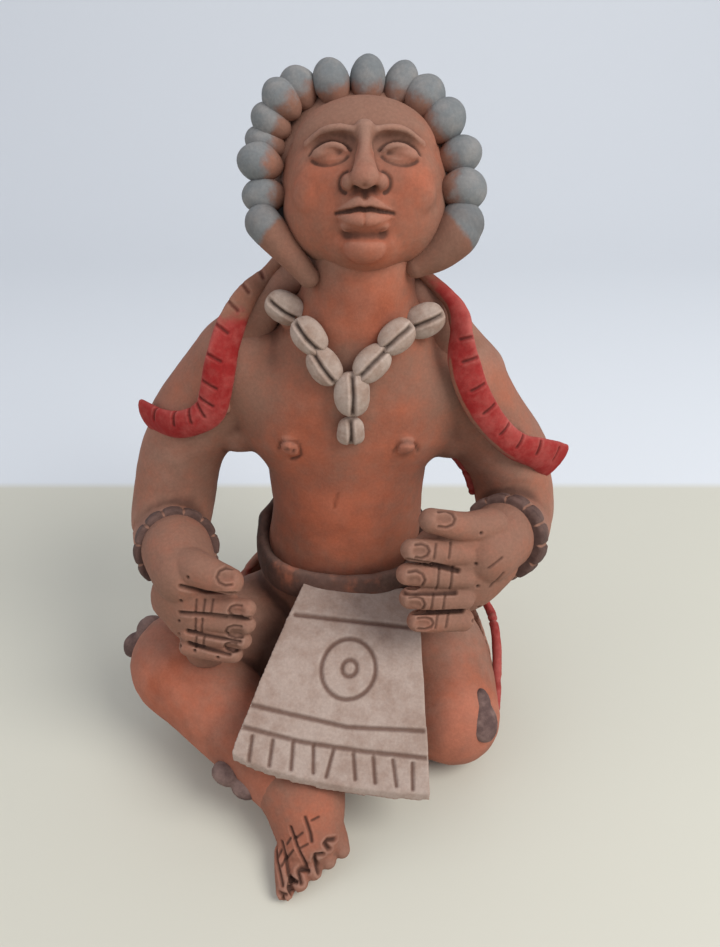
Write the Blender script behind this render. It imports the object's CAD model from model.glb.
"""A seated figure of hand-built, painted terracotta, with its head tilted back."""
import math
import random

import bmesh
import bpy
import numpy as np
from mathutils import Matrix, Vector, noise


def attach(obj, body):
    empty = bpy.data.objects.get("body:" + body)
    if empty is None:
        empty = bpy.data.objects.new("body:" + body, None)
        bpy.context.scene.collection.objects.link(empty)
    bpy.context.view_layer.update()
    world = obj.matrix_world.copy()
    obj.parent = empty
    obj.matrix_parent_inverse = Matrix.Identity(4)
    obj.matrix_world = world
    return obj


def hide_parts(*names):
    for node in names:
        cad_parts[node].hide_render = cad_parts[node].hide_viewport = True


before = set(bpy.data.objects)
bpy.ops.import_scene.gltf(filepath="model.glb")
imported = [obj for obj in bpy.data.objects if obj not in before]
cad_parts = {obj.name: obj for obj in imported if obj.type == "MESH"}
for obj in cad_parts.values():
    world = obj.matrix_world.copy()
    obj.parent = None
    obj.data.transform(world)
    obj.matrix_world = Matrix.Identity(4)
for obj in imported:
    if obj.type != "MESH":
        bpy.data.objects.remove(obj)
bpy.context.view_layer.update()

# The view: from the front and a little above, close to the figure, as it stands on a table.
# Sizes on the figure are in millimetres from the body's upright axis, and this matrix takes
# them to the model's metres.
TO_MODEL = Matrix.Translation((0.00822, 0.03743, 0.0)) @ Matrix.Scale(0.001, 4)
LOOK_DOWN = math.radians(32)
VIEW_FROM = Vector((3, -280, 288))
SENSOR = 36
FOCAL_PIXELS = 780
PICTURE_PIXELS = 947

lens = bpy.data.cameras.new("view")
lens.sensor_width = SENSOR
lens.sensor_fit = "AUTO"
lens.lens = SENSOR * FOCAL_PIXELS / PICTURE_PIXELS
camera = bpy.data.objects.new("view", lens)
camera.location = TO_MODEL @ VIEW_FROM
camera.rotation_euler = (math.pi / 2 - LOOK_DOWN, 0, 0)
bpy.context.scene.collection.objects.link(camera)
bpy.context.scene.camera = camera

# The table top and the room: one pale sheet that curves up behind, warmer on the table than
# on the wall, a big soft lamp at the upper right, a weaker one at the left, and light all round.
# Its sizes are in metres.
TABLE_TONE = (0.80, 0.79, 0.735)
WALL_TONE = (0.86, 0.875, 0.89)
TABLE_END = 0.2
SHEET_HALF = 2.5
BEND_START = 0.7
BEND_RADIUS = 0.6
BEND_STEPS = 12
WALL_TALL = 2.0
LAMP_AIM = Vector((0, 0, 0.12))


def tone(red, green, blue):
    """A colour as seen on a screen, as the shader wants it."""
    levels = [((v + 0.055) / 1.055) ** 2.4 if v > 0.04 else v / 12.92 for v in (red, green, blue)]
    return (*levels, 1.0)


def as_object(bm, name):
    """A finished bmesh as an object in the scene."""
    mesh = bpy.data.meshes.new(name)
    bm.to_mesh(mesh)
    bm.free()
    made = bpy.data.objects.new(name, mesh)
    bpy.context.scene.collection.objects.link(made)
    return made


def wire(tree, kind, settings=None, **sockets):
    """One shader node, its switches set and its sockets given a number, a colour or an output."""
    made = tree.nodes.new("ShaderNode" + kind)
    for key, value in (settings or {}).items():
        setattr(made, key, value)
    for key, value in sockets.items():
        socket = made.inputs[int(key[1:])] if key[1:].isdigit() else made.inputs[key.replace("_", " ")]
        if isinstance(value, bpy.types.NodeSocket):
            tree.links.new(value, socket)
        else:
            socket.default_value = value
    return made


bm = bmesh.new()
bmesh.ops.create_grid(bm, x_segments=1, y_segments=1, size=SHEET_HALF)
back = [e for e in bm.edges if all(v.co.y > BEND_START for v in e.verts)]
for v in bm.verts:
    v.co.y = min(v.co.y, BEND_START)
for turn in range(1, BEND_STEPS + 1):
    angle = math.radians(90 * turn / BEND_STEPS)
    made = bmesh.ops.extrude_edge_only(bm, edges=back)["geom"]
    back = [item for item in made if isinstance(item, bmesh.types.BMEdge)]
    for v in {v for e in back for v in e.verts}:
        v.co.y = BEND_START + BEND_RADIUS * math.sin(angle)
        v.co.z = BEND_RADIUS - BEND_RADIUS * math.cos(angle) + (WALL_TALL if turn == BEND_STEPS else 0)
floor = as_object(bm, "floor")
floor_paint = bpy.data.materials.new("pale table")
floor_paint.use_nodes = True
floor_tree = floor_paint.node_tree
floor_place = wire(floor_tree, "TexCoord").outputs["Object"]
floor_split = wire(floor_tree, "SeparateXYZ", i0=floor_place)
floor_step = wire(floor_tree, "ValToRGB", Fac=floor_split.outputs["Y"])
floor_step.color_ramp.elements[0].position = TABLE_END
floor_step.color_ramp.elements[0].color = tone(*TABLE_TONE)
floor_step.color_ramp.elements[1].position = TABLE_END + 0.006
floor_step.color_ramp.elements[1].color = tone(*WALL_TONE)
floor_shader = floor_tree.nodes["Principled BSDF"]
floor_tree.links.new(floor_step.outputs["Color"], floor_shader.inputs["Base Color"])
floor_shader.inputs["Roughness"].default_value = 0.55
floor.data.materials.append(floor_paint)
floor.data.polygons.foreach_set("use_smooth", [True] * len(floor.data.polygons))


def soft_lamp(name, place, size, watts, warmth):
    lamp = bpy.data.lights.new(name, "AREA")
    lamp.shape = "DISK"
    lamp.size = size
    lamp.energy = watts
    lamp.color = warmth
    stand = bpy.data.objects.new(name, lamp)
    stand.location = place
    stand.rotation_euler = (LAMP_AIM - Vector(place)).to_track_quat("-Z", "Y").to_euler()
    bpy.context.scene.collection.objects.link(stand)


soft_lamp("window", (0.8, -0.5, 1.05), 0.8, 14, (1.0, 0.99, 0.97))
soft_lamp("far side", (-0.95, -0.35, 0.7), 1.1, 2.2, (0.98, 0.98, 1.0))
room = bpy.data.worlds.new("room")
room.use_nodes = True
room.node_tree.nodes["Background"].inputs["Color"].default_value = tone(0.86, 0.87, 0.9)
room.node_tree.nodes["Background"].inputs["Strength"].default_value = 0.85
bpy.context.scene.world = room
bpy.context.scene.view_settings.view_transform = "Standard"

# The body: fat rolls of red clay for the trunk, the arms and the crossed legs, pressed
# together and smoothed over with wet hands, so that each runs into the next.
TRUNK = [
    (-4, 3, 22, 40, 30), (-6, 1, 50, 38, 29), (-4.5, 0, 74, 34, 27), (-2.5, 0, 96, 32, 27),
    (-2.5, 0, 112, 32.5, 27.5), (-2.5, 0, 121, 33.5, 27.5), (-2.5, 0, 128, 38, 27), (-2.3, 0, 134, 43, 27),
    (-2, 0, 142, 46.5, 27.5), (1, 0, 160, 42, 26.5), (2, -2, 178, 30, 22.5), (2.5, -5, 194, 21, 19.5),
    (4, -6, 212, 19, 18),
]
RIGHT_ARM = [
    (-40, 2, 162, 19.5), (-55, 3, 146, 18), (-69.5, 3, 127, 16.8), (-76, 0, 105, 17.3),
    (-77, -13, 93, 16.2), (-72, -27, 97, 14.3), (-69.5, -34, 99.5, 12.8),
]
LEFT_ARM = [
    (38, 2, 157, 18.5), (49, 3, 141, 17.5), (63, 3, 121, 16.5), (69, 0, 104, 16.8),
    (68, -11, 96, 16), (64, -23, 100, 14.5), (60, -31, 103, 13),
]
RIGHT_THIGH = [(-24, 3, 34, 25.5), (-50, -18, 38, 24.5), (-73.5, -36, 38.5, 22.5)]
RIGHT_SHIN = [(-73.5, -37, 37.5, 22), (-48, -60, 30, 18.5), (-25, -80, 20, 16)]
LEFT_THIGH = [(24, 2, 30, 27), (37.5, -22, 27, 24.5), (42.5, -49, 21, 21)]
LEFT_SHIN = [(40, -46, 15, 15), (8, -54, 13, 13), (-22, -46, 11, 10)]
CHEST_PADS = [
    ((-35, -6, 155), (12, 13, 16)), ((32, -6, 155), (12, 13, 16)),
    ((-45, -1, 137.5), (13, 12, 12)), ((39.5, -1, 134.8), (13, 12, 12)),
    ((-23.5, -8, 187.5), (5, 7.5, 5.5)), ((25, -10, 184), (5, 7.5, 5.5)),
    ((-23.6, -25.2, 141), (4.2, 2.4, 3.7)), ((20.6, -25.2, 141), (4.2, 2.4, 3.7)),
]
RIGHT_NIPPLE = (-23.6, -28, 141)
RIGHT_RING = [(-4.5, 0.5), (-3.5, 3), (0, 3.5), (3.5, 2.5), (4.5, -1), (3, -3), (0, -3.5)]
RIGHT_PRICKS = [[(-1, 0)], [(1.5, -0.5)]]
LEFT_NIPPLE = (20.6, -28, 141)
LEFT_RING = [(-4.5, -0.5), (-3, 2.5), (0, 3), (3.5, 2.5), (4.5, 0)]
NAVEL = (-7, -28, 118)
NAVEL_LINE = [(1, 2.4), (0.2, -2.4)]
MELTED_JOINS = [
    ((-36, -14, 156), (14, 12, 26), 1.2), ((34, -14, 154), (14, 12, 26), 1.2),
    ((-2, -22, 122), (34, 14, 14), 1.0),
]
LAP_SHADE = [((-31, -34, 48), (10, 12, 13), 1.1), ((-37, -42, 38), (8, 10, 10), 1.0)]
BODY_WASH = [
    ((-20, -28, 150), 17, -0.35), ((20, -28, 150), 17, -0.3), ((-5, -28, 108), 32, -0.42),
    ((4, -22, 194), 15, -0.6), ((-80, -48, 40), 28, -0.5), ((-40, -75, 30), 24, -0.4),
    ((-20, -88, 24), 14, -0.4), ((45, -62, 24), 26, -0.5), ((0, -26, 160), (9, 12, 26), 0.35),
    ((-36, -18, 160), 12, 0.25), ((-77, -20, 110), 20, 0.1), ((-45, -30, 55), 18, 0.25),
    ((52, -20, 50), 14, 0.25), ((34, -18, 160), 12, 0.25),
]
UNDERSIDE = 0.2
LEVEL_WITH_VIEW = (0, math.sin(LOOK_DOWN), math.cos(LOOK_DOWN))


def smooth_route(stations, count):
    """Points on one smooth curve through the stations, each with its half width and depth."""
    rows = np.array([list(s) + [s[-1]] * (5 - len(s)) for s in stations], float)
    rows = np.vstack([2 * rows[0] - rows[1], rows, 2 * rows[-1] - rows[-2]])
    made = []
    for at in np.linspace(0, len(stations) - 1, count):
        i = min(int(at), len(stations) - 2)
        t = at - i
        a, b, c, d = rows[i:i + 4]
        made.append(0.5 * (2 * b + (c - a) * t + (2 * a - 5 * b + 4 * c - d) * t ** 2
                           + (3 * b - a - 3 * c + d) * t ** 3))
    return made


def ring_place(centre, along, wide, half_wide, half_deep):
    """Where a unit circle goes to be one ring of a roll."""
    side = (wide - along * wide.dot(along)).normalized()
    over = side.cross(along)
    turned = Matrix((side * half_wide, over * half_deep, along)).transposed().to_4x4()
    return Matrix.Translation(centre) @ turned


def roll(bm, stations, wide=(1, 0, 0), sides=24, steps=24, cap_rings=5):
    """A roll of clay with round ends, made by drawing a circle along its route."""
    route = smooth_route(stations, steps)
    points = [Vector(row[:3]) for row in route]
    tangents = [(points[min(i + 1, steps - 1)] - points[max(i - 1, 0)]).normalized()
                for i in range(steps)]
    wide = Vector(wide)
    rings = []
    for end, order in ((0, range(cap_rings - 1, -1, -1)), (steps - 1, range(cap_rings))):
        cap = []
        for k in order:
            angle = math.pi / 2 * (k + 1) / (cap_rings + 0.6)
            out = tangents[end] * (1 if end else -1) * math.sin(angle) * min(route[end][3:])
            half_wide, half_deep = route[end][3:] * math.cos(angle)
            cap.append(ring_place(points[end] + out, tangents[end], wide, half_wide, half_deep))
        rings.append(cap)
    body = [ring_place(points[i], tangents[i], wide, *route[i][3:]) for i in range(steps)]
    places = rings[0] + body + rings[1]
    verts = bmesh.ops.create_circle(bm, cap_ends=True, radius=1, segments=sides, matrix=places[0])["verts"]
    face = verts[0].link_faces[0]
    for i in range(1, len(places)):
        made = bmesh.ops.extrude_face_region(bm, geom=[face], use_keep_orig=(i == 1))["geom"]
        face = next(item for item in made if isinstance(item, bmesh.types.BMFace))
        bmesh.ops.transform(bm, matrix=places[i] @ places[i - 1].inverted(), verts=face.verts)


def ball(bm, centre, sizes, axes=((1, 0, 0), (0, 1, 0), (0, 0, 1)), fine=3):
    """A ball of clay with three half sizes along three axes."""
    columns = [Vector(axis).normalized() * size for axis, size in zip(axes, sizes)]
    place = Matrix.Translation(centre) @ Matrix(columns).transposed().to_4x4()
    return bmesh.ops.create_icosphere(bm, subdivisions=fine, radius=1, matrix=place)["verts"]


def knead(bm, name, grain, soften):
    """Presses the overlapping lumps into one skin with edges about a grain long, and rubs it smooth."""
    bmesh.ops.recalc_face_normals(bm, faces=bm.faces)
    piece = as_object(bm, name)
    skin = piece.modifiers.new("skin", "REMESH")
    skin.mode = "VOXEL"
    skin.voxel_size = grain
    rub = piece.modifiers.new("rub", "SMOOTH")
    rub.iterations = soften
    finished = piece.evaluated_get(bpy.context.evaluated_depsgraph_get())
    shaped = bpy.data.meshes.new_from_object(finished)
    piece.modifiers.clear()
    piece.data = shaped
    shaped.name = name
    return piece


def places_of(piece):
    """The places and the outward directions of a piece's points, in millimetres."""
    count = len(piece.data.vertices)
    places = np.empty(count * 3)
    outward = np.empty(count * 3, np.float32)
    piece.data.vertices.foreach_get("co", places)
    piece.data.vertex_normals.foreach_get("vector", outward)
    return places.reshape(-1, 3), outward.reshape(-1, 3).astype(float)


def move_to(piece, places):
    piece.data.vertices.foreach_set("co", places.ravel())
    piece.data.update()


def store(piece, name, values):
    """Keeps one number at each point, or the same number at all, for the shader."""
    kept = piece.data.attributes.get(name) or piece.data.attributes.new(name, "FLOAT", "POINT")
    kept.data.foreach_set("value", np.broadcast_to(values, len(piece.data.vertices)).astype(np.float32))


def stored(piece, name):
    """The numbers kept under a name, or noughts."""
    kept = piece.data.attributes.get(name)
    values = np.zeros(len(piece.data.vertices), np.float32)
    if kept:
        kept.data.foreach_get("value", values)
    return values.astype(float)


def hand_marks(piece, tall, wide=14.0):
    """The slight unevenness that hands leave in soft clay."""
    places, outward = places_of(piece)
    lift = np.array([noise.noise(Vector(p) / wide) + 0.35 * noise.noise(Vector(p) / (wide * 0.3))
                     for p in places])
    move_to(piece, places + outward * (lift * tall)[:, None])


def to_strokes(flat, strokes):
    """How far each flat place (across, up) lies from the nearest stroke."""
    nearest = np.full(len(flat), 1e9)
    for stroke in strokes:
        line = np.array(stroke, float)
        parts = max(len(line) - 1, 1)
        for start, end in zip(line[:parts], line[-parts:]):
            run = end - start
            share = np.clip((flat - start) @ run / max(run @ run, 1e-9), 0, 1)
            nearest = np.minimum(nearest, np.linalg.norm(flat - start - share[:, None] * run, axis=1))
    return nearest


def incise(piece, origin, strokes, width, depth, across=(1, 0, 0), up=LEVEL_WITH_VIEW, mark=1.0,
           reach=60):
    """Strokes drawn into the clay with a point. Each is a run of (across, up) places on a plane
    through the origin, and it marks what faces that plane."""
    places, outward = places_of(piece)
    across, up = np.array(across, float), np.array(up, float)
    facing = np.cross(across, up)
    away = places - np.array(origin, float)
    nearest = to_strokes(np.stack([away @ across, away @ up], 1), strokes)
    turned = np.clip((outward @ facing - 0.1) * 4, 0, 1) * (np.abs(away @ facing) < reach)
    groove = np.exp(-(nearest / width) ** 2) * turned
    lip = np.exp(-((nearest - 1.9 * width) / (0.7 * width)) ** 2) * turned
    move_to(piece, places - outward * (groove * depth - lip * depth * 0.12)[:, None])
    if mark:
        dark = np.exp(-(nearest / (width * 1.05)) ** 4) * turned * mark
        store(piece, "groove", np.maximum(stored(piece, "groove"), dark))


def rounded(values, edges, rounds):
    """Each value averaged with its neighbours', round after round."""
    count = len(values)
    degree = np.bincount(edges.ravel(), minlength=count)[:, None]
    for _ in range(rounds):
        total = np.stack([np.bincount(edges[:, 0], column[edges[:, 1]], count)
                          + np.bincount(edges[:, 1], column[edges[:, 0]], count) for column in values.T], 1)
        values = 0.5 * values + 0.5 * total / np.maximum(degree, 1)
    return values


def edges_of(piece):
    edges = np.empty(len(piece.data.edges) * 2, np.int32)
    piece.data.edges.foreach_get("vertices", edges)
    return edges.reshape(-1, 2)


def spots(places, marks, base):
    """A number at each place: a base and soft round spots, each (centre, radius, amount)."""
    total = np.full(len(places), float(base))
    for centre, radius, amount in marks:
        total += amount * np.exp(-(((places - np.array(centre)) / np.array(radius)) ** 2).sum(1))
    return np.clip(total, 0, 1)


def flatten_underside(piece):
    """Presses what would hang below the table flat on it."""
    places = places_of(piece)[0]
    places[:, 2] = np.maximum(places[:, 2], UNDERSIDE)
    move_to(piece, places)


def melt(piece, marks, rounds):
    """Rubs a piece smooth in soft round spots, each (centre, radius, amount)."""
    places = places_of(piece)[0]
    smoothed = rounded(places, edges_of(piece), rounds)
    move_to(piece, places + (smoothed - places) * spots(places, marks, 0)[:, None])


def finish_clay(piece, material, scale, rounds):
    """Stores how deep each point lies in a hollow, takes the piece to its place, and hands it over."""
    places, outward = places_of(piece)
    sunk = ((rounded(places, edges_of(piece), rounds) - places) * outward).sum(1)
    store(piece, "hollow", np.clip(0.5 + sunk * scale, 0, 1))
    for name in ("groove", "paint", "wash"):
        store(piece, name, stored(piece, name))
    piece.data.transform(TO_MODEL)
    piece.data.polygons.foreach_set("use_smooth", np.ones(len(piece.data.polygons), bool))
    piece.data.materials.clear()
    piece.data.materials.append(material)
    piece.data.update()
    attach(piece, "root")


def blend(tree, share, under, over):
    return wire(tree, "Mix", {"data_type": "RGBA"}, i0=share, i6=under, i7=over).outputs[2]


def ramp(tree, value, low, high, to_low=0.0, to_high=1.0):
    made = wire(tree, "MapRange", {"interpolation_type": "SMOOTHSTEP"}, Value=value, From_Min=low,
                From_Max=high, To_Min=to_low, To_Max=to_high)
    return made.outputs["Result"]


def sums(tree, operation, first, second):
    return wire(tree, "Math", {"operation": operation}, i0=first, i1=second).outputs[0]


def clouds(tree, place, size, detail, rough=0.55):
    """Noise in spots of the given size in millimetres."""
    made = wire(tree, "TexNoise", Vector=place, Scale=1000 / size, Detail=detail, Roughness=rough)
    return made.outputs["Fac"]


def stored_at(tree, name):
    """The number that the piece keeps at each point."""
    return wire(tree, "Attribute", {"attribute_name": name}).outputs["Fac"]


FIRED_CLAY = tone(0.68, 0.37, 0.26)
DEEP_CLAY = tone(0.58, 0.305, 0.21)
GREY_WASH = tone(0.535, 0.40, 0.335)
GROOVE_DIRT = tone(0.27, 0.175, 0.14)
RIDGE_TONE = tone(0.6, 0.5, 0.45)


def clay_finish(name, paint_tones=None, paint_edge=0.12, dirt_tone=GROOVE_DIRT, dirt=1.0):
    """Fired red clay under a thin grey-brown wash that was wiped off the high places, with paint
    over it, in its colour and its worn colour, laid where the point's paint number is high."""
    material = bpy.data.materials.new(name)
    material.use_nodes = True
    tree = material.node_tree
    shader = tree.nodes["Principled BSDF"]
    place = wire(tree, "TexCoord").outputs["Object"]
    patches = clouds(tree, place, 22, 3)
    mottle = clouds(tree, place, 5, 5, 0.6)
    specks = clouds(tree, place, 1.1, 3, 0.7)
    hollow = stored_at(tree, "hollow")
    groove = stored_at(tree, "groove")
    paint = stored_at(tree, "paint")
    wash = stored_at(tree, "wash")
    colour = blend(tree, ramp(tree, patches, 0.35, 0.7), FIRED_CLAY, DEEP_CLAY)
    left = sums(tree, "ADD", sums(tree, "ADD", wash, sums(tree, "MULTIPLY", mottle, 0.55)),
                sums(tree, "MULTIPLY", patches, 0.5))
    colour = blend(tree, ramp(tree, left, 0.45, 1.25, 0.0, 0.9), colour, GREY_WASH)
    if paint_tones:
        rubbed = sums(tree, "ADD", sums(tree, "MULTIPLY", mottle, 0.6), sums(tree, "MULTIPLY", patches, 0.5))
        coat = blend(tree, ramp(tree, rubbed, 0.42, 0.72), *paint_tones)
        ragged = sums(tree, "MULTIPLY", sums(tree, "SUBTRACT", mottle, 0.5), paint_edge * 4)
        edge = sums(tree, "ADD", paint, ragged)
        colour = blend(tree, ramp(tree, edge, 0.5 - paint_edge, 0.5 + paint_edge), colour, coat)
    shade = ramp(tree, hollow, 0.52, 0.95, 0.0, 0.75 * dirt)
    colour = blend(tree, shade, colour, dirt_tone)
    colour = blend(tree, sums(tree, "MULTIPLY", groove, 0.8 * dirt), colour, dirt_tone)
    pale = wire(tree, "Mix", {"data_type": "RGBA", "blend_type": "SCREEN"}, i6=colour, i7=RIDGE_TONE,
                i0=ramp(tree, hollow, 0.46, 0.2, 0.0, 0.22)).outputs[2]
    grain = blend(tree, ramp(tree, specks, 0.3, 0.75), tone(0.93, 0.93, 0.93), tone(1.0, 1.0, 1.0))
    colour = wire(tree, "Mix", {"data_type": "RGBA", "blend_type": "MULTIPLY"}, i0=1.0, i6=pale,
                  i7=grain).outputs[2]
    tree.links.new(colour, shader.inputs["Base Color"])
    tree.links.new(ramp(tree, mottle, 0.2, 0.8, 0.74, 0.93), shader.inputs["Roughness"])
    shader.inputs["Specular IOR Level"].default_value = 0.28
    height = sums(tree, "ADD", sums(tree, "MULTIPLY", specks, 0.35), mottle)
    bump = wire(tree, "Bump", Height=height, Strength=0.35, Distance=0.0006)
    tree.links.new(bump.outputs["Normal"], shader.inputs["Normal"])
    return material


bm = bmesh.new()
roll(bm, TRUNK, sides=40, steps=40)
for arm in (RIGHT_ARM, LEFT_ARM):
    roll(bm, arm, wide=(0, 1, 0), sides=28, steps=30)
for leg in (RIGHT_THIGH, RIGHT_SHIN, LEFT_THIGH, LEFT_SHIN):
    roll(bm, leg, wide=(0, 0, 1), sides=28, steps=16)
for pad in CHEST_PADS:
    ball(bm, *pad)
body = knead(bm, "body", 1.25, 7)
hand_marks(body, 0.35)
melt(body, MELTED_JOINS, 90)
flatten_underside(body)
incise(body, RIGHT_NIPPLE, [RIGHT_RING], 0.7, 0.7, mark=0.6)
incise(body, RIGHT_NIPPLE, RIGHT_PRICKS, 0.7, 0.9)
incise(body, LEFT_NIPPLE, [LEFT_RING], 0.7, 0.7, mark=0.6)
incise(body, NAVEL, [NAVEL_LINE], 0.6, 0.5, mark=0.5)
body_places = places_of(body)[0]
store(body, "groove", np.maximum(stored(body, "groove"), spots(body_places, LAP_SHADE, 0)))
store(body, "wash", spots(body_places, BODY_WASH, 0.5))
fired_clay = clay_finish("fired clay")
finish_clay(body, fired_clay, scale=0.55, rounds=40)
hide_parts("figure")

# The head: one ball of clay with the neck pressed up into it and a face modelled on the front.
# The face is a plain calm one on the usual proportions. It is tilted back, so its places are
# given across it, up it and out of it.
HEAD_TILT = math.radians(27)
HEAD_CENTRE = Vector((4.5, -2, 232))
FACE_ACROSS = Vector((1, 0, 0))
FACE_UP = Vector((0, math.sin(HEAD_TILT), math.cos(HEAD_TILT)))
FACE_OUT = Vector((0, -math.cos(HEAD_TILT), math.sin(HEAD_TILT)))
HEAD_AXES = (FACE_ACROSS, FACE_UP, FACE_OUT)
HEAD_LUMPS = [
    ((0, -1.5, -4), (29, 27.5, 25)), ((0, -5, 5), (26, 26.5, 20)),
    ((-9.5, -10.5, 1.5), (18, 18, 18)), ((9.5, -10.5, 1.5), (18, 18, 18)),
]
CHIN_LUMPS = [((0, -22, 9), (14.5, 10, 12.5)), ((0, -25.5, 17), (7.5, 5.5, 6))]
FOREHEAD = ((0, 8, 5.5), (24, 17, 15.5))
NOSE = [(0, 9, 22.5, 3.2, 3), (0, 3, 24.6, 2.9, 3), (0, -2, 26.6, 3.2, 3.2), (0, -7, 28.6, 4.3, 3.7)]
NOSE_WING = ((4.3, -7.8, 25.4), (2.9, 2.6, 3.6))
CHEEK = ((12.5, -8, 13), (11, 10.5, 8.2))
BROW = [(3.6, 8.2, 23.2, 1.8), (8, 9.0, 22.4, 1.9), (13, 8.8, 20.2, 1.8), (18.5, 6.6, 16.2, 1.3)]
LIP_BEDS = [((0, -13, 22.5), (8.6, 4.2, 3.2)), ((0, -19.5, 21.6), (8, 4, 3.4))]
EYE_SOCKET = [(7.5, 3.6), (13.5, 3.4)]
EYE = ((10.8, 2.4, 18.4), (6.2, 3.1, 4.1))
UPPER_LID = [
    (4.6, 1.7, 21.4, 0.8), (7.6, 3.8, 22.6, 1.1), (11.4, 4.3, 21.8, 1.15), (15, 3.2, 19.5, 1.0),
    (17.8, 1.3, 17.0, 0.7),
]
LOWER_LID = [(5, 1.3, 21.4, 0.6), (8, 0.3, 22.0, 0.85), (12, 0.1, 21.1, 0.85), (16.6, 1.2, 18.0, 0.6)]
UPPER_LIP = [
    (-9.4, -16.2, 20.6, 0.9), (-5.6, -14.8, 23.6, 1.7), (-2.2, -13.9, 25.2, 2.1), (0, -14.3, 25.4, 2),
    (2.2, -13.9, 25.2, 2.1), (5.6, -14.8, 23.6, 1.7), (9.4, -16.2, 20.6, 0.9),
]
LOWER_LIP = [
    (-8.8, -16.6, 20.6, 0.9), (-5, -18, 23.2, 2), (0, -18.8, 24.6, 2.5), (5, -18, 23.2, 2),
    (8.8, -16.6, 20.6, 0.9),
]
MOUTH_LINE = [(-9.2, -16.3), (-5, -16.4), (-1.6, -16), (0, -16.3), (1.6, -16), (5, -16.4), (9.2, -16.3)]
LIP_GROOVE = [(0, -10.6), (0, -12.6)]
CHIN_FOLD = [(-6, -22.6), (0, -23.4), (6, -22.6)]
NOSTRIL = (2.5, -10.2, 27)
HEAD_WASH = [
    ((0, -26, 18), 13, -0.4), ((-14, -6, 20), 9, -0.3), ((14, -8, 20), 10, -0.35), ((0, -5, 28), 7, -0.25),
    ((0, 18, 18), 14, 0.2),
]


def on_head(across, up, out):
    return HEAD_CENTRE + FACE_ACROSS * across + FACE_UP * up + FACE_OUT * out


def head_ball(bm, place, sizes, fine=3):
    return ball(bm, on_head(*place), sizes, HEAD_AXES, fine)


def head_roll(bm, stations, **shape):
    roll(bm, [tuple(on_head(*s[:3])) + tuple(s[3:]) for s in stations], **shape)


def on_face(piece, strokes, width, depth, **how):
    incise(piece, on_head(0, 0, 20), strokes, width, depth, across=FACE_ACROSS, up=FACE_UP, reach=26,
           **how)


def on_side(side, stations):
    """The same places on the left (1) of the face, or turned over to its right (-1)."""
    return [(side * across, *rest) for across, *rest in stations]


def arc(centre, half_wide, half_high, start, end, count=9):
    """Places along part of an oval, with angles in degrees from its right-hand end."""
    turns = [math.radians(start + (end - start) * i / (count - 1)) for i in range(count)]
    return [(centre[0] + half_wide * math.cos(a), centre[1] + half_high * math.sin(a)) for a in turns]


bm = bmesh.new()
for lump in HEAD_LUMPS:
    head_ball(bm, *lump, 4)
for lump in CHIN_LUMPS:
    head_ball(bm, *lump)
head_ball(bm, *FOREHEAD, 4)
head_roll(bm, NOSE, sides=20, steps=12)
for side in (-1, 1):
    for place, sizes in (NOSE_WING, CHEEK):
        head_ball(bm, *on_side(side, [place]), sizes)
    head_roll(bm, on_side(side, BROW), sides=12, steps=14)
for lump in LIP_BEDS:
    head_ball(bm, *lump)
blank_head = knead(bm, "head", 0.6, 5)
for side in (-1, 1):
    on_face(blank_head, [on_side(side, EYE_SOCKET)], 4.6, 2.8, mark=0)
bm = bmesh.new()
bm.from_mesh(blank_head.data)
for side in (-1, 1):
    head_ball(bm, *on_side(side, EYE[:1]), EYE[1])
    head_roll(bm, on_side(side, UPPER_LID), sides=10, steps=16, cap_rings=3)
    head_roll(bm, on_side(side, LOWER_LID), sides=10, steps=14, cap_rings=3)
head_roll(bm, UPPER_LIP, sides=14, steps=30)
head_roll(bm, LOWER_LIP, sides=14, steps=26)
head = knead(bm, "head", 0.55, 2)
bpy.data.objects.remove(blank_head)
hand_marks(head, 0.12, 9)
upper_lids = [arc((x, 0.4), 7.2, 5.9, 25, 155) for x in (-11.1, 11.1)]
lower_lids = [arc((x, 3.2), 6.6, 5.0, 210, 330) for x in (-11.1, 11.1)]
nose_wings = [arc((-5.0, -7.6), 3.2, 3.4, 100, 250), arc((5.0, -7.6), 3.2, 3.4, 80, -70)]
on_face(head, upper_lids, 0.5, 0.4, mark=0.5)
on_face(head, lower_lids, 0.5, 0.3, mark=0.4)
on_face(head, [MOUTH_LINE], 0.55, 1.0, mark=0.9)
on_face(head, [LIP_GROOVE], 1.1, 0.5, mark=0.25)
on_face(head, [CHIN_FOLD], 1.6, 0.8, mark=0.25)
on_face(head, nose_wings, 0.5, 0.55, mark=0.65)
for side in (-1, 1):
    nostril = on_head(*on_side(side, [NOSTRIL])[0])
    places = places_of(head)[0]
    near = np.exp(-(((places - np.array(nostril)) / 1.35) ** 2).sum(1))
    inward = np.array(FACE_UP * 0.8 - FACE_OUT * 0.5)
    move_to(head, places + inward * (near * 1.8)[:, None])
    store(head, "groove", np.maximum(stored(head, "groove"), np.clip(near * 1.5, 0, 1)))
wiped = [(on_head(*place), radius, amount) for place, radius, amount in HEAD_WASH]
store(head, "wash", spots(places_of(head)[0], wiped, 0.5))
finish_clay(head, fired_clay, scale=0.8, rounds=30)
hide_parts("figure")

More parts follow.
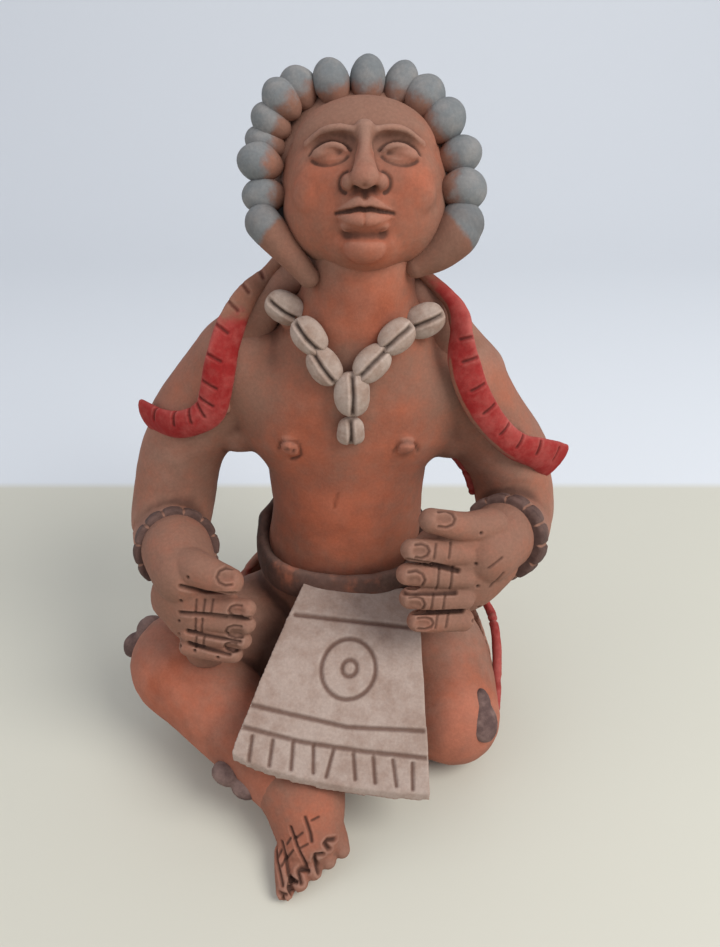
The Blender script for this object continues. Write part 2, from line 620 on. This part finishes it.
# The hair: fat drops of clay pressed on in a ring round the face, grey paint over their outer
# ends and bare clay where they taper in. Plainer drops stand behind, on a smooth painted cap.
HAIR_GREY = tone(0.455, 0.47, 0.475)
HAIR_WORN = tone(0.54, 0.53, 0.52)
CURLS = [
    (-33.6, -6.0, 6.1, 7.8, 3), (-34.6, 4.2, 6.4, 8.0, 5), (-33.2, 11.8, 5.6, 7.4, 1),
    (-31.2, 18.0, 5.8, 7.4, 3), (-27.2, 24.4, 6.2, 7.6, 5), (-21.8, 28.8, 6.4, 7.6, 3),
    (-10.8, 29.6, 6.2, 8.2, 5), (1.0, 30.6, 6.0, 8.6, 4.5), (12.0, 29.6, 5.8, 8.4, 3),
    (19.6, 25.0, 6.8, 8.0, 4.5), (26.0, 17.4, 7.0, 8.4, 5), (31.6, 7.0, 6.4, 8.0, 3.5),
    (32.8, -4.6, 7.2, 8.2, 5),
]
BACK_CURLS = [
    (-28, -9, 9, 9), (-26, 8, 9, 10), (-17, 19, 9, 10), (-2, 22, 9, 10), (13, 20, 9, 10), (24, 8, 9, 10),
    (27, -8, 9, 9),
]
BACK_CURL_DEPTH = -9
HAIR_CAP = ((-0.5, 5, -8), (32, 31, 19))
RIGHT_LOCK = [(-34, -15.4, 5, 6.2), (-30.5, -19.5, 5, 6), (-24.5, -26.5, 4, 4.6), (-19, -32.5, 1.5, 3.8)]
LEFT_LOCK = [(32.5, -15.5, 4, 7.8), (30, -19.5, 3.5, 8), (25, -24.5, 2, 6.4), (18, -28.5, 0, 4.2)]
CURL_MIDDLE = (0, -4)


def curl(bm, paint, across, up, half_wide, half_long, depth, fine):
    """One drop of clay lying outwards from the middle of the face, thinner at its inner end."""
    turn = math.atan2(up - CURL_MIDDLE[1], across - CURL_MIDDLE[0])
    outwards = FACE_ACROSS * math.cos(turn) + FACE_UP * math.sin(turn)
    sideways = outwards.cross(FACE_OUT)
    centre = on_head(across, up, depth)
    for v in ball(bm, centre, (half_wide, half_wide, half_long), (sideways, FACE_OUT, outwards), fine):
        away = v.co - centre
        length = away.dot(outwards)
        along = length / half_long
        taper = 1 - 0.26 * max(-along, 0) ** 1.5
        v.co = centre + outwards * length + (away - outwards * length) * taper
        v[paint] = 0.66 + 0.62 * along + 0.10 * away.dot(FACE_OUT) / half_wide


def face_outwards(piece):
    """Turns the faces of a finished piece of loose lumps outwards."""
    bm = bmesh.new()
    bm.from_mesh(piece.data)
    bmesh.ops.recalc_face_normals(bm, faces=bm.faces)
    bm.to_mesh(piece.data)
    bm.free()


bm = bmesh.new()
paint = bm.verts.layers.float.new("paint")
for drop in CURLS:
    curl(bm, paint, *drop, 4)
for drop in BACK_CURLS:
    curl(bm, paint, *drop, BACK_CURL_DEPTH, 3)
for v in head_ball(bm, *HAIR_CAP, 4):
    v[paint] = 0.35 - (v.co - on_head(0, 0, -16)).dot(FACE_OUT) / 12
hair = as_object(bm, "hair_curls")
hand_marks(hair, 0.22, 7)
store(hair, "wash", spots(places_of(hair)[0], [(HEAD_CENTRE, 34, 0.4)], 0.5))
grey_hair = clay_finish("grey hair paint", (HAIR_GREY, HAIR_WORN), 0.2)
finish_clay(hair, grey_hair, scale=0.2, rounds=6)
face_outwards(hair)

bm = bmesh.new()
for lock in (RIGHT_LOCK, LEFT_LOCK):
    head_roll(bm, lock, sides=28, steps=30, cap_rings=9)
inner = [face for face in bm.faces if all(len(edge.link_faces) > 2 for edge in face.edges)]
bmesh.ops.delete(bm, geom=inner, context="FACES_ONLY")
locks = as_object(bm, "side_locks")
hand_marks(locks, 0.2, 7)
away = places_of(locks)[0] - np.array(HEAD_CENTRE)
spread = away @ np.array(FACE_ACROSS)
lifted = away @ np.array(FACE_UP)
store(locks, "paint", np.clip(0.5 + (np.abs(spread) - 30.5) / 7 + (lifted + 17) / 9, 0, 1))
store(locks, "wash", 0.66)
finish_clay(locks, grey_hair, scale=0.3, rounds=10)
face_outwards(locks)

# The cape: a sheet of clay over the shoulders and the upper arms, drawn in behind the waist and
# spread round the seat, with a painted strip pressed along its edges and notched across.
MANTLE_THICK = 2.6
YOKES = [
    [(-20, -1, 199.5, 6.5), (-28, -1, 194, 6.5), (-33.8, 0, 186, 8.5), (-42, 2, 173.5, 12.3),
     (-47, 3, 161, 16.5)],
    [(24, 0, 192.5, 7), (30.5, 1, 184.5, 9.3), (38, 2, 170, 12.5), (45, 3, 157, 16.5)],
]
MANTLE_CUTS = [
    [((-47.5, 0, 165), (1, 0, 0.15)), ((-70, 0, 145), (0.2, 0, -1))],
    [((42, 0, 165), (-1, 0, 0.2)), ((69, 0, 134), (-0.72, 0, -1))],
]
SHEET_ROWS = 48
SHEET_COLUMNS = 28
SHEET_INSIDE = 2.2
SHEET_THICK = 4.6
CAPE_ROWS = [
    (196, 11, 24, 8), (182, 19, 40, 12), (162, 24, 56, 14), (142, 27, 61, 15), (126, 28.5, 54, 13),
    (113, 29.5, 38, 8), (98, 31, 30, 5), (76, 32.5, 29, 5), (58, 34, 38, 8), (44, 35.5, 54, 20),
    (18, 40, 68, 44), (-4, 44, 72, 58),
]
MELTED_FOLDS = [
    ((-37, -12, 170), (13, 14, 18), 1.2), ((33, -12, 168), (13, 14, 18), 1.2),
    ((64, -4, 148), (14, 20, 18), 1.2),
]
CAPE_WASH = [((-60, -10, 160), 30, -0.12), ((60, -10, 150), 26, -0.12)]
RED_PAINT = tone(0.58, 0.115, 0.11)
RED_WORN = tone(0.66, 0.29, 0.265)


def trim(bm, cuts):
    """Cuts a lump along planes, each (point on it, direction of the part that goes)."""
    for point, out in cuts:
        bmesh.ops.bisect_plane(bm, geom=bm.verts[:] + bm.edges[:] + bm.faces[:], clear_outer=True,
                               plane_co=point, plane_no=Vector(out).normalized())
        bmesh.ops.holes_fill(bm, edges=[e for e in bm.edges if e.is_boundary])


bm = bmesh.new()
for arm, cuts in zip((RIGHT_ARM, LEFT_ARM), MANTLE_CUTS):
    cover = bmesh.new()
    sleeve = [(x, y, z, radius + MANTLE_THICK) for x, y, z, radius in arm[:5]]
    roll(cover, sleeve, wide=(0, 1, 0), sides=40, steps=30)
    lump = knead(cover, "cover", 1.5, 2)
    cover = bmesh.new()
    cover.from_mesh(lump.data)
    bpy.data.objects.remove(lump)
    trim(cover, cuts)
    lump = as_object(cover, "cover")
    bm.from_mesh(lump.data)
    bpy.data.objects.remove(lump)
for yoke in YOKES:
    roll(bm, yoke, wide=(0, 1, 0), sides=28, steps=14)
grid = bmesh.ops.create_grid(bm, x_segments=SHEET_COLUMNS, y_segments=SHEET_ROWS, size=1)["verts"]
rows = smooth_route([(z, y, half, wrap, 0) for z, y, half, wrap in CAPE_ROWS], 2 * SHEET_ROWS + 1)
for v in grid:
    z, y, half, wrap, _ = rows[round((1 - v.co.y) * SHEET_ROWS)]
    across = v.co.x
    fold = 0.9 * math.sin(across * 13) * max(0.0, min(1.0, (110 - z) / 60)) * (1 - across ** 2)
    middle = -3 + 5 * z / 190
    v.co = (middle + across * half, y - wrap * across ** 2 + fold - SHEET_INSIDE, z)
sheet = list({face for v in grid for face in v.link_faces})
for item in bmesh.ops.extrude_face_region(bm, geom=sheet, use_keep_orig=True)["geom"]:
    if isinstance(item, bmesh.types.BMVert):
        item.co.y += SHEET_THICK
cape = knead(bm, "cape", 1.4, 9)
hand_marks(cape, 0.3)
melt(cape, MELTED_FOLDS, 70)
flatten_underside(cape)
store(cape, "wash", spots(places_of(cape)[0], CAPE_WASH, 0.52))
finish_clay(cape, fired_clay, scale=0.5, rounds=30)

STRIP_THICK = 2.6
RIGHT_STRIP = [
    (-26.8, -2, 204, 2.2), (-30.3, -3, 199.6, 3), (-35.7, -6, 195.6, 3.8), (-40.3, -9.5, 189.8, 5),
    (-44.4, -13.5, 182.2, 5.9), (-47.6, -18, 172.2, 6), (-50.6, -19, 160.3, 6), (-53.6, -18.7, 152.2, 6),
    (-61, -17.5, 147.1, 5.8), (-70.2, -13.5, 144.1, 6.4), (-82, -3.5, 143, 7.6),
]
LEFT_STRIP = [
    (22.3, -2, 202.5, 2), (30.8, -5, 196.1, 2.6), (36.4, -10, 191.3, 3.4), (39, -13.5, 185.9, 4.6),
    (39.5, -16.5, 180.3, 5.4), (40.6, -18.5, 172.8, 6), (44.2, -19.5, 161.9, 6.1), (50.1, -19.5, 151.5, 6),
    (57.2, -18, 142.2, 5.6), (65.6, -15.5, 134.7, 6), (75.5, -11, 129.2, 7.2), (83.6, -4, 122, 8.4),
]
TOWARDS_VIEW = Vector((0, -math.cos(LOOK_DOWN), math.sin(LOOK_DOWN)))
RIGHT_SHARES = (0.12, 0.22, 0.31, 0.4, 0.49, 0.57, 0.64, 0.71, 0.78, 0.86, 0.94)
LEFT_SHARES = (0.36, 0.45, 0.54, 0.62, 0.71, 0.79, 0.87, 0.95)
RIGHT_EDGE = [
    (-46, 28, 118), (-36, 27, 106), (-29, 25, 92), (-29, 24, 76), (-37, 23, 61), (-48, 20, 51),
    (-57, 12, 40), (-66, 1, 22), (-71, -8, 4),
]
LEFT_EDGE = [
    (44, 28, 118), (33, 28, 106), (26, 27, 92), (26, 26, 78), (36, 22, 62), (54, 14, 48), (64, 3, 37),
    (65.3, -10, 36.3), (65.2, -20, 33.4), (64.2, -30, 31), (62.9, -40, 26), (62, -46, 21),
]
LEFT_INNER_EDGE = [(40, 0, 125), (45, 1, 119), (49, 1, 112), (51.5, 1, 104)]
HEM_NOTCH_GAP = 9.5
bm = bmesh.new()
for route, wide in ((RIGHT_STRIP, (-0.35, 0, 1)), (LEFT_STRIP, (0.35, 0, 1))):
    roll(bm, [(*spot, STRIP_THICK) for spot in route], wide=wide, sides=20, steps=60)
border = knead(bm, "cape_strips", 0.55, 3)
hand_marks(border, 0.25, 8)


def cross_strokes(route, shares, half_long, lean, shift):
    """Short strokes across a strip, at the given shares of its length and moved towards one edge."""
    rows = smooth_route(route, 201)
    for share in shares:
        i = round(share * 200)
        along = (Vector(rows[min(i + 2, 200)][:3]) - Vector(rows[max(i - 2, 0)][:3])).normalized()
        over = TOWARDS_VIEW.cross(along).normalized()
        facing = along.cross(over)
        ends = [(shift - half_long, -lean), (shift + half_long, lean)]
        incise(border, rows[i][:3], [ends], 0.6, 0.7, across=over, up=facing.cross(over), reach=9)


cross_strokes(RIGHT_STRIP, RIGHT_SHARES, 2.7, -0.8, -2.2)
cross_strokes(LEFT_STRIP, LEFT_SHARES, 2.7, 0.3, 1.8)
places = places_of(border)[0]
inner_rim = np.full(len(places), 1e9)
for route in (RIGHT_STRIP, LEFT_STRIP):
    rows = smooth_route(route, 120)
    for a, b in zip(rows[:-1], rows[1:]):
        over = TOWARDS_VIEW.cross(Vector(b[:3]) - Vector(a[:3])).normalized()
        rim = Vector(a[:3]) - over * a[3]
        inner_rim = np.minimum(inner_rim, np.linalg.norm(places - np.array(rim), axis=1))
bare_top = np.clip((places[:, 2] - np.where(places[:, 0] < 0, 178, 190)) / 16, 0, 1)
store(border, "paint", np.clip(0.95 - 0.75 * bare_top - 0.9 * np.exp(-(inner_rim / 1.6) ** 2), 0, 1))
store(border, "wash", 0.5)
red_finish = clay_finish("worn red paint", (RED_PAINT, RED_WORN), 0.16, tone(0.30, 0.12, 0.10), 0.8)
finish_clay(border, red_finish, scale=0.7, rounds=16)

bm = bmesh.new()
for route in (RIGHT_EDGE, LEFT_EDGE, LEFT_INNER_EDGE):
    roll(bm, [(*spot, 2.4, 2.2) for spot in route], wide=(0, 1, 0), sides=14, steps=70)
hem = knead(bm, "cape_hem", 0.8, 3)
hand_marks(hem, 0.2, 8)
places, outward = places_of(hem)
notch = np.clip(np.cos(places[:, 2] * 2 * math.pi / HEM_NOTCH_GAP) - 0.6, 0, 1) * 2.5
move_to(hem, places - outward * (notch * 0.4)[:, None])
store(hem, "groove", np.clip(notch * 0.3, 0, 1))
store(hem, "paint", np.where(places[:, 0] < 0, 0.4, 0.65))
store(hem, "wash", 0.5)
finish_clay(hem, red_finish, scale=0.6, rounds=12)

# The necklace: pressed pebbles of clay, slit along their length like cowrie shells, hung in a V
# with a bigger one in the middle and a small split tassel below it.
SHELL_PAINT = tone(0.69, 0.615, 0.565)
SHELL_WORN = tone(0.60, 0.50, 0.44)
SHELLS = [
    ((-23.7, -13.5, 191), (-0.75, -0.25, 0.6), (16.5, 12, 8)),
    ((-14.8, -24, 184.5), (-0.7, 0.3, 0.75), (16, 11.5, 8)),
    ((-9.6, -27, 174.5), (-0.6, 0.3, 0.8), (16, 11.5, 8)),
    ((7.2, -28, 176), (0.7, 0.3, 0.65), (16, 11.5, 8)),
    ((15.8, -24.5, 184.5), (0.75, 0.3, 0.6), (15, 11.5, 8)),
    ((26, -15.5, 187), (0.9, 0, 0.4), (16, 12.5, 8)),
    ((0.2, -30, 165), (0, 0.15, 1), (18, 13, 10)),
    ((-0.4, -29.5, 150), (0, 0, 1), (12, 10, 6.5)),
]
TASSEL = len(SHELLS) - 1
shell_finish = clay_finish("chalky white paint", (SHELL_PAINT, SHELL_WORN), 0.12, tone(0.30, 0.24, 0.21))
random.seed(4)
for number, (place, direction, (long, wide, thick)) in enumerate(SHELLS):
    along = Vector(direction).normalized()
    facing = Vector((place[0] * 0.02, -1, 0.35))
    facing = (facing - along * facing.dot(along)).normalized()
    across = along.cross(facing)
    bm = bmesh.new()
    pebble = ball(bm, place, (wide / 2, long / 2, thick / 2), (across, along, facing), 5)
    for v in pebble:
        away = v.co - Vector(place)
        length, breadth = away.dot(along), away.dot(across)
        end = abs(length) / (long / 2)
        v.co += along * length * (-0.07 * end ** 3) + across * breadth * 0.10 * end ** 2
        if number == TASSEL and length < 0:
            v.co += across * math.copysign(1.3, breadth) * end * (abs(breadth) > 0.2)
    shell = knead(bm, f"shell_{number + 1}", 0.42, 2)
    hand_marks(shell, 0.2, 6)
    bow = random.uniform(-0.5, 0.5)
    slit = [(bow * 0.5, -0.40 * long), (bow, 0), (0, 0.40 * long)]
    incise(shell, place, [slit], 0.8, 1.7, across=across, up=along, mark=0.75, reach=20)
    store(shell, "paint", 0.92)
    store(shell, "wash", 0.5)
    finish_clay(shell, shell_finish, scale=0.8, rounds=14)

# The bracelets: bands of dark-painted clay closed round the wrists and cut across into blocks,
# with the bare clay pale in the cuts.
BRACELET_PAINT = tone(0.30, 0.215, 0.19)
BRACELET_WORN = tone(0.42, 0.32, 0.29)
BRACELETS = [
    ((-69.5, -34, 99.3), (0.3, -0.8, 0.45), 0.15, 16.4), ((60, -31, 103), (-0.45, -0.8, 0.4), 0.3, 17.0),
]
BLOCKS = 12
bracelet_finish = clay_finish("dark bracelet paint", (BRACELET_PAINT, BRACELET_WORN), 0.14,
                              tone(0.40, 0.30, 0.26), 0.6)
for name, (centre, axis, start, outer) in zip(("right_bracelet", "left_bracelet"), BRACELETS):
    along = Vector(axis).normalized()
    side = Vector((0, 0, 1)).cross(along).normalized()
    over = along.cross(side)
    bm = bmesh.new()
    corners = [(10, -4.4), (outer - 1, -4.9), (outer - 0.1, -4), (outer, 0), (outer - 0.1, 4),
               (outer - 1, 4.9), (10, 4.4)]
    profile = [bm.verts.new(Vector(centre) + side * r + along * h) for r, h in corners]
    loop = [bm.edges.new(pair) for pair in zip(profile, profile[1:] + profile[:1])]
    bmesh.ops.spin(bm, geom=profile + loop, cent=centre, axis=along, angle=2 * math.pi, steps=72,
                   use_merge=True)
    bmesh.ops.remove_doubles(bm, verts=bm.verts, dist=0.01)
    band = knead(bm, name, 0.5, 4)
    places, outward = places_of(band)
    away = places - np.array(centre)
    rise, run = away @ np.array(over), away @ np.array(side)
    angle = np.arctan2(rise, run)
    radius = np.hypot(rise, run)
    step = (angle / (2 * math.pi) * BLOCKS + start) % 1
    gap = np.abs(step - 0.5) * 2 * math.pi * outer / BLOCKS
    cut = np.exp(-(gap / 0.7) ** 2) * np.clip((radius - outer + 4) / 3, 0, 1)
    bulge = np.cos((step - 1) * math.pi) ** 2 * np.clip((radius - outer + 3) / 3, 0, 1)
    radial = (away - np.outer(away @ np.array(along), along)) / radius[:, None]
    move_to(band, places + radial * (0.3 * bulge - 0.9 * cut)[:, None])
    hand_marks(band, 0.25, 6)
    store(band, "paint", np.clip(0.95 - cut * 0.75, 0, 1))
    store(band, "wash", np.clip(0.35 + cut, 0, 1))
    finish_clay(band, bracelet_finish, scale=0.45, rounds=10)

# The hands: each a palm with four rolled fingers side by side and a thumb over them, the nails,
# joints and knuckles drawn and pricked with a point.
FINGER_RADIUS = 3.9
RIGHT_HAND = {
    "wrist": [(-70, -32, 99, 13), (-68, -39, 102, 13.5), (-63, -50, 101, 12.5)],
    "palm": [(-67, -49, 90, 16, 10), (-58, -54, 84, 18, 9), (-46, -58, 82, 15, 5)],
    "pads": [],
    "heel": [(-60, -48, 76, 11), (-60, -46, 58, 9)],
    "thumb": [(-64, -50, 105, 8), (-55, -57, 107, 6.5), (-44, -61, 105, 5)],
    "fingers": ([(-60, -58, 92), (-63, -60, 72)], [(-38, -62, 93), (-42, -64, 71)],
                [0.97, 1, 0.97, 0.85], FINGER_RADIUS),
    "drawn_from": (-54, -60, 84),
    "tips": 1,
    "nails": [(9.5, 19.5, 3.5, 3.2), (12, 6, 3, 2.3), (11, -2.5, 4, 2.6), (9, -9, 3, 2)],
    "joints": [((-3.5, -0.5, 2.5), 10, 5), ((-4.5, -2), 2.5, -3), ((-5, -2), -5, -9.5)],
    "creases": [],
    "between": [[(-8, 15.5), (0.5, 13), (12, 13)], [(-10, 4.5), (3.5, 4), (16, 3)],
                [(-8, -3), (-0.5, -4.5), (12, -6.5)], [(-8, -8), (-1.5, -10), (7.5, -12)]],
    "pricks": [(-5, 19), (-9, 9.5), (-11, 1), (-12, -5), (-12, -9.5), (-6, -11), (3, -13.5)],
}
LEFT_HAND = {
    "wrist": [(61, -29, 102.5, 13), (58, -34, 105, 13.5), (51, -44, 106, 12.5)],
    "palm": [(54, -42, 102, 15, 10), (44, -47, 98, 19, 9), (30, -53, 99, 17, 5)],
    "pads": [((38, -47, 111), (15, 7, 9))],
    "heel": [(42, -44, 90, 10), (40, -36, 72, 8)],
    "thumb": [(52, -42, 116, 7), (41, -48, 120, 5.6), (28.5, -51, 125, 4.6)],
    "fingers": ([(42, -51, 110), (42, -57, 83)], [(21, -56, 115.5), (23, -61, 86)],
                [0.97, 1.07, 1.04, 0.92], FINGER_RADIUS * 1.18),
    "drawn_from": (34, -56, 100),
    "tips": -1,
    "nails": [(-1, 24.5, 4, 3.1), (-9.5, 13, 3.2, 2.7), (-11.5, 2, 4, 3.8), (-11, -7.5, 3.8, 3.4),
              (-7.5, -15, 3.8, 2.4)],
    "joints": [((-4, 1.5), 15.5, 10), ((-2.5, 2.5), 6.5, -2), ((-4.5, 0), -4, -10.5),
               ((-2.5, 1.5), -12, -17)],
    "creases": [[(16, 6), (21, 10)], [(18, -2), (22, 4)]],
    "between": [[(-14, 9.5), (-4, 7.5), (5, 5)], [(-15, -3), (4.5, -3.5)], [(-13, -11), (7.5, -11)]],
    "pricks": [(13, 19), (11.5, 7.5), (13, -1.5), (15, -11), (12, -15)],
}


def digits(bm, roots, tips, lengths, radius, wide):
    """Rolls side by side, each from its root to its tip."""
    for i, length in enumerate(lengths):
        share = i / (len(lengths) - 1)
        root = Vector(roots[0]).lerp(Vector(roots[1]), share)
        tip = root.lerp(Vector(tips[0]).lerp(Vector(tips[1]), share), length)
        middle = root.lerp(tip, 0.55)
        stations = [(*root, radius), (*middle, radius * 1.02), (*tip, radius * 0.9)]
        roll(bm, stations, wide=wide, sides=16, steps=10)


def nail(across, up, half_wide, half_tall, tips):
    """A nail drawn round its root and open at the tip, which points to +1 or -1 across."""
    turns = np.linspace(math.radians(60), math.radians(300), 7)
    return [(across + tips * half_wide * math.cos(turn), up + half_tall * math.sin(turn))
            for turn in turns]


def make_hand(name, hand):
    """Presses one hand together, draws its marks and hands it over."""
    bm = bmesh.new()
    roll(bm, hand["wrist"], wide=(0, 0, 1), sides=28, steps=12)
    roll(bm, hand["palm"], wide=(0, 0, 1), sides=28, steps=14)
    for pad in hand["pads"]:
        ball(bm, *pad)
    roll(bm, hand["heel"], sides=24, steps=8)
    roll(bm, hand["thumb"], wide=(0, 0, 1), sides=20, steps=14)
    digits(bm, *hand["fingers"], (0, 0, 1))
    piece = knead(bm, name, 0.5, 3)
    hand_marks(piece, 0.2, 8)
    origin = hand["drawn_from"]
    beds = [[(across - 1.1, up), (across + 1.1, up)] for across, up, _, _ in hand["nails"]]
    joints = [[(across + 0.4, top), (across - 0.4, low)]
              for row, top, low in hand["joints"] for across in row]
    incise(piece, origin, hand["between"], 0.75, 1.4)
    incise(piece, origin, beds, 1.5, 0.9, mark=0.25)
    incise(piece, origin, [nail(*spot, hand["tips"]) for spot in hand["nails"]], 0.5, 0.7, mark=0.85)
    incise(piece, origin, joints + hand["creases"], 0.45, 0.5, mark=0.8)
    incise(piece, origin, [[prick] for prick in hand["pricks"]], 0.6, 1.0)
    store(piece, "wash", 0.62)
    finish_clay(piece, fired_clay, scale=0.6, rounds=18)


make_hand("right_hand", RIGHT_HAND)
make_hand("left_hand", LEFT_HAND)

# The foot: a flat sole with five rolled toes side by side, the gaps and joints drawn with a
# point, and a gouge cut for each nail.
TOE_RADIUS = 3.7
SOLE = [(-24, -80, 20.5, 16), (-19, -88, 18, 16.6, 15), (-16, -101, 11, 13, 10)]
TOES = ([(-7, -96, 14), (-26, -104, 8)], [(-4, -105, 11), (-24.6, -118, 4)], [1, 1, 1, 1, 0.95])
FOOT_DRAWN_FROM = (-15, -108, 8)
FOOT_LINES = [
    [(-2.5, 18), (-0.5, 12.5), (0, 10)], [(-8, 14), (-5.5, 8), (-3, 3), (-2, 0.5)],
    [(-11.5, 7.5), (-10, 3), (-8.5, -2), (-7.5, -4)],
    [(-14.5, 6.5), (-13.5, 1.5), (-12, -1.5), (-10.5, -5)],
]
FOOT_JOINTS = [
    [(0, 17), (2.5, 18)], [(-6.5, 10), (-3.5, 12.5)], [(-4, 7.5), (-1.5, 9)], [(-9.5, 7.5), (-8, 10)],
    [(-9.5, 2), (-7, 6)], [(-13, 2), (-11.5, 4.5)], [(-11.5, 0), (-9.5, 2)],
]
TOE_NAILS = [
    [(8.5, 9.5), (6, 10), (5, 9), (6.5, 6.5)], [(4, 5), (1.5, 5), (1, 3), (2, 0.5), (3, -2)],
    [(-1.5, -1), (-4, -0.5), (-5, -1), (-3.5, -4.5)], [(-5.5, -4), (-7.5, -4), (-8, -5.5), (-6.5, -8.5)],
    [(-9, -8), (-11.5, -7.5), (-10.5, -8.5), (-9, -16)],
]
bm = bmesh.new()
roll(bm, SOLE, wide=(1, -0.2, 0.3), sides=28, steps=16)
digits(bm, *TOES, TOE_RADIUS, (1, 0, 0))
foot = knead(bm, "right_foot", 0.5, 3)
flatten_underside(foot)
hand_marks(foot, 0.15, 8)
incise(foot, FOOT_DRAWN_FROM, FOOT_LINES, 0.6, 1.0)
incise(foot, FOOT_DRAWN_FROM, FOOT_JOINTS, 0.45, 0.5)
incise(foot, FOOT_DRAWN_FROM, TOE_NAILS, 0.75, 1.7)
store(foot, "wash", spots(places_of(foot)[0], [((-16, -96, 16), 12, -0.3)], 0.45))
finish_clay(foot, fired_clay, scale=0.6, rounds=18)

# The belt and the apron: a roll of clay round the hips that dips in front, and a slab from it
# down over the lap, painted white and drawn on with a point.
BELT = [
    (-39.3, 7, 82), (-39, -6, 75.5), (-33, -19, 75), (-21.5, -28, 76), (-4, -30.5, 75), (14, -28.5, 75.5),
    (24.5, -20, 76), (30, -6, 77), (29.5, 10, 80), (20, 24, 83), (-5, 29.5, 85), (-29, 22, 85),
    (-39.3, 7, 82),
]
BELT_PAINT = tone(0.30, 0.22, 0.19)
BELT_WORN = tone(0.42, 0.30, 0.26)
BELT_WEAR = [((-28, -25, 79), 9, -0.45), ((0, -33, 78), 22, -0.3)]
APRON_TOP = [Vector((-20, -30, 80)), Vector((27, -30, 75))]
APRON_LOW = [Vector((-44.5, -91, 49)), Vector((29.6, -94, 28.5))]
APRON_PAINT = tone(0.67, 0.595, 0.55)
APRON_WORN = tone(0.60, 0.51, 0.46)
APRON_THICK = 4.5
APRON_BOW = 4
APRON_LIFT = Vector((0, -0.5, 0.86))
APRON_DRAWN_FROM = (-5, -62, 60)
APRON_RINGS = [arc((3.6, 1.6), 10.6, 10.6, 20, 380, 33), arc((4.0, 1.9), 2.9, 2.9, 0, 360, 15)]
APRON_LINES = [
    [(-18, 21.5), (5, 18.5), (29, 15.5)],
    [(-33.5, -9), (-20, -12.5), (3, -18.5), (32.5, -21.5)],
    [(-37, -16), (-14.5, -22.5), (11, -27.5), (33.5, -31)],
]
FRINGE_LEANS = (-1, -1, -0.5, 0.2, -2.5, 0.8, 0.7, 1.3, 0)
APRON_FRINGE = [[(-32 + 7.5 * i, -19.7 - 1.6 * i), (-32 + 7.5 * i + lean, -28.3 - 1.65 * i)]
                for i, lean in enumerate(FRINGE_LEANS)]
bm = bmesh.new()
roll(bm, [(*spot, 7.6, 3.6) for spot in BELT], wide=(0, 0, 1), sides=18, steps=120)
belt = knead(bm, "belt", 0.9, 4)
hand_marks(belt, 0.3, 9)
store(belt, "paint", spots(places_of(belt)[0], BELT_WEAR, 0.9))
store(belt, "wash", 0.35)
belt_finish = clay_finish("dark belt paint", (BELT_PAINT, BELT_WORN), 0.2)
finish_clay(belt, belt_finish, scale=0.5, rounds=16)

bm = bmesh.new()
grid = bmesh.ops.create_grid(bm, x_segments=60, y_segments=60, size=0.5)["verts"]
for v in grid:
    across, down = v.co.x + 0.5, 0.5 - v.co.y
    reach = down * (1 + 0.05 * math.sin(math.pi * across ** 0.8))
    left = APRON_TOP[0].lerp(APRON_LOW[0], reach)
    right = APRON_TOP[1].lerp(APRON_LOW[1], reach)
    v.co = left.lerp(right, across) + APRON_LIFT * (APRON_BOW * math.sin(math.pi * down))
bmesh.ops.solidify(bm, geom=bm.faces[:], thickness=APRON_THICK)
apron = knead(bm, "apron", 0.6, 4)
hand_marks(apron, 0.25, 12)
incise(apron, APRON_DRAWN_FROM, APRON_LINES + APRON_RINGS, 0.8, 0.9, reach=30)
incise(apron, APRON_DRAWN_FROM, APRON_FRINGE, 0.7, 0.9, reach=40)
top = places_of(apron)[1] @ np.array(APRON_LIFT)
store(apron, "paint", np.clip((top - 0.05) * 2.4, 0, 1))
store(apron, "wash", 0.5)
apron_finish = clay_finish("chalky apron paint", (APRON_PAINT, APRON_WORN), 0.1, tone(0.39, 0.28, 0.235))
finish_clay(apron, apron_finish, scale=0.6, rounds=14)

# The knots of the leg bands: pressed drops of clay painted dark, at the right knee, the right
# ankle and the left knee.
KNOTS = {
    "knee_knot": [
        ((-89.1, -24.9, 47.9), (5.8, 5.2, 6.8), (-0.7, -0.2, -0.7)),
        ((-96, -27, 40.6), (5.2, 4.8, 6.6), (-0.6, -0.2, -0.8)),
    ],
    "ankle_knot": [
        ((-49.8, -82.2, 25.2), (4.8, 4.5, 5.8), (0.8, -0.3, -0.5)),
        ((-42.4, -84.8, 20.6), (4.8, 4.5, 5.6), (0.8, -0.3, -0.5)),
    ],
    "left_knot": [
        ((53.6, -61, 30.5), (6.2, 4.4, 8.4), (0.08, -0.78, -0.62)),
        ((53.6, -55.4, 35), (3.8, 3.6, 6), (0.08, -0.78, -0.62)),
    ],
}
KNOT_PAINT = tone(0.35, 0.265, 0.25)
KNOT_WORN = tone(0.53, 0.43, 0.40)
knot_finish = clay_finish("dark knot paint", (KNOT_PAINT, KNOT_WORN), 0.14)
for name, drops in KNOTS.items():
    bm = bmesh.new()
    for centre, sizes, along in drops:
        along = Vector(along).normalized()
        side = along.cross(Vector((0, -1, 0.3))).normalized()
        ball(bm, centre, sizes, (side, side.cross(along), along), 4)
    knot = knead(bm, name, 0.55, 3)
    hand_marks(knot, 0.35, 5)
    store(knot, "paint", 0.85)
    store(knot, "wash", 0.4)
    finish_clay(knot, knot_finish, scale=0.4, rounds=10)
